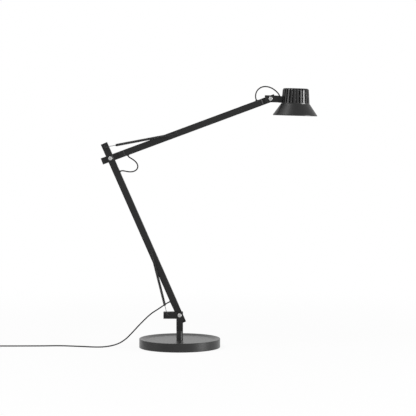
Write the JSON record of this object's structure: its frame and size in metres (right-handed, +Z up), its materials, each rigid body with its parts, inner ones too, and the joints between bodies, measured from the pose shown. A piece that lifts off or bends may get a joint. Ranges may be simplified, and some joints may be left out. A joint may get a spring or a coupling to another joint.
{
  "type": "balanced-arm table lamp",
  "caption": "Table lamp on a round base: swivelling foot bracket, two square arms with outside balance springs, finned round head with a conical shade.",
  "frame": {"origin": "on the table surface under the base, on the axis of the round post", "axes": "+Z up along the post, +X from the post towards the lamp head, -Y towards the front"},
  "size_m": [0.8625, 0.2003, 0.6442],
  "materials": {
    "base_coat": "fine matt powder coat on steel",
    "arm_coat": "satin black powder coat",
    "sink_coat": "black anodised die-cast aluminium",
    "shade_coat": "satin black coat on spun metal",
    "screw_metal": "dull nickelled screw heads",
    "zinc": "zinc plated steel",
    "spring_steel": "black coated spring wire",
    "hook_steel": "black oxidised spring wire",
    "nylon": "black nylon",
    "rubber": "black rubber",
    "cord_jacket": "smooth black cord jacket",
    "plug_plastic": "black moulded plastic",
    "pin_metal": "plated plug pins",
    "board": "white solder mask on aluminium",
    "diodes": "phosphor-coated diodes",
    "reflector_white": "white reflector",
    "opal": "opal diffuser"
  },
  "bodies": {
    "base": {"base_plate": "base_coat", "base_pad": "rubber", "base_bolt": "zinc", "post": "arm_coat", "swivel_washer": "nylon"},
    "foot": {"swivel_bush": "nylon", "foot_bracket": "arm_coat", "swivel_screw": "zinc", "foot_pivot_screw": "screw_metal", "foot_pivot_nut": "zinc", "foot_washers": "nylon", "foot_spring_pin": "arm_coat", "supply_cord_lead": "cord_jacket", "supply_cord": "cord_jacket", "cord_coil": "cord_jacket", "plug_relief": "cord_jacket", "plug_body": "plug_plastic", "plug_pins": "pin_metal"},
    "lower_arm": {"foot_tongue": "arm_coat", "lower_tube": "arm_coat", "lower_lead": "cord_jacket", "elbow_fork": "arm_coat", "elbow_pivot_screw": "screw_metal", "elbow_pivot_nut": "zinc", "elbow_washers": "nylon", "supply_grommet": "rubber", "lower_grommet": "rubber", "foot_spring_seat": "arm_coat", "elbow_spring_pin": "arm_coat", "elbow_cord_loop": "cord_jacket"},
    "upper_arm": {"elbow_tongue": "arm_coat", "upper_tube": "arm_coat", "upper_lead": "cord_jacket", "elbow_grommet": "rubber", "upper_grommet": "rubber", "head_tongue": "arm_coat", "elbow_spring_seat": "arm_coat", "head_cord_loop": "cord_jacket"},
    "head": {"head_bracket": "arm_coat", "head_block": "arm_coat", "head_lead": "cord_jacket", "head_pivot_screw": "screw_metal", "head_pivot_nut": "zinc", "head_washers": "nylon", "heat_sink": "sink_coat", "shade": "shade_coat", "shade_screws": "zinc", "led_board": "board", "led_array": "diodes", "mixing_cone": "reflector_white", "diffuser": "opal", "retaining_ring": "shade_coat"},
    "foot_spring_tail": {"foot_spring_hook": "hook_steel", "foot_spring_coil": "spring_steel"},
    "foot_spring_nose": {"foot_spring_end": "hook_steel", "foot_arm_pin": "arm_coat"},
    "elbow_spring_tail": {"elbow_spring_hook": "hook_steel", "elbow_spring_coil": "spring_steel"},
    "elbow_spring_nose": {"elbow_spring_end": "hook_steel", "elbow_arm_pin": "arm_coat"}
  },
  "joints": [
    {"name": "foot_swivel", "type": "hinge", "parent": "base", "child": "foot", "pos_m": [0, 0, 0.042], "axis": [0, 0, 1], "range_deg": [-170, 170]},
    {"name": "lower_arm_hinge", "type": "hinge", "parent": "foot", "child": "lower_arm", "pos_m": [0, 0, 0.0803], "axis": [0, 1, 0], "range_deg": [-22, 45], "deforming": ["supply_cord_lead", "foot_spring_coil"]},
    {"name": "elbow_hinge", "type": "hinge", "parent": "lower_arm", "child": "upper_arm", "pos_m": [-0.16961, 0, 0.46759], "axis": [0, 1, 0], "range_deg": [-30, 40], "deforming": ["elbow_cord_loop", "elbow_spring_coil"]},
    {"name": "head_hinge", "type": "hinge", "parent": "upper_arm", "child": "head", "pos_m": [0.22343, 0, 0.61337], "axis": [0, 1, 0], "range_deg": [-75, 45], "deforming": ["head_cord_loop"]},
    {"name": "foot_spring_swing", "type": "hinge", "parent": "foot", "child": "foot_spring_tail", "pos_m": [-0.03, 0, 0.0803], "axis": [0, 1, 0], "range_deg": [-24, 48]},
    {"name": "foot_spring_stretch", "type": "slide", "parent": "foot_spring_tail", "child": "foot_spring_nose", "axis": [-0.2418, 0, 0.9703], "range_m": [-0.02, 0.03]},
    {"name": "elbow_spring_swing", "type": "hinge", "parent": "lower_arm", "child": "elbow_spring_tail", "pos_m": [-0.18164, 0, 0.49507], "axis": [0, 1, 0], "range_deg": [-33, 43]},
    {"name": "elbow_spring_stretch", "type": "slide", "parent": "elbow_spring_tail", "child": "elbow_spring_nose", "axis": [0.9828, 0, 0.1848], "range_m": [-0.025, 0.03]}
  ],
  "couplings": [
    {"joint": "foot_spring_swing", "follows": "lower_arm_hinge", "ratio": 1.007},
    {"joint": "foot_spring_stretch", "follows": "lower_arm_hinge", "m_per_rad": 0.02818},
    {"joint": "elbow_spring_swing", "follows": "elbow_hinge", "ratio": 0.9516},
    {"joint": "elbow_spring_stretch", "follows": "elbow_hinge", "m_per_rad": 0.02726}
  ]
}
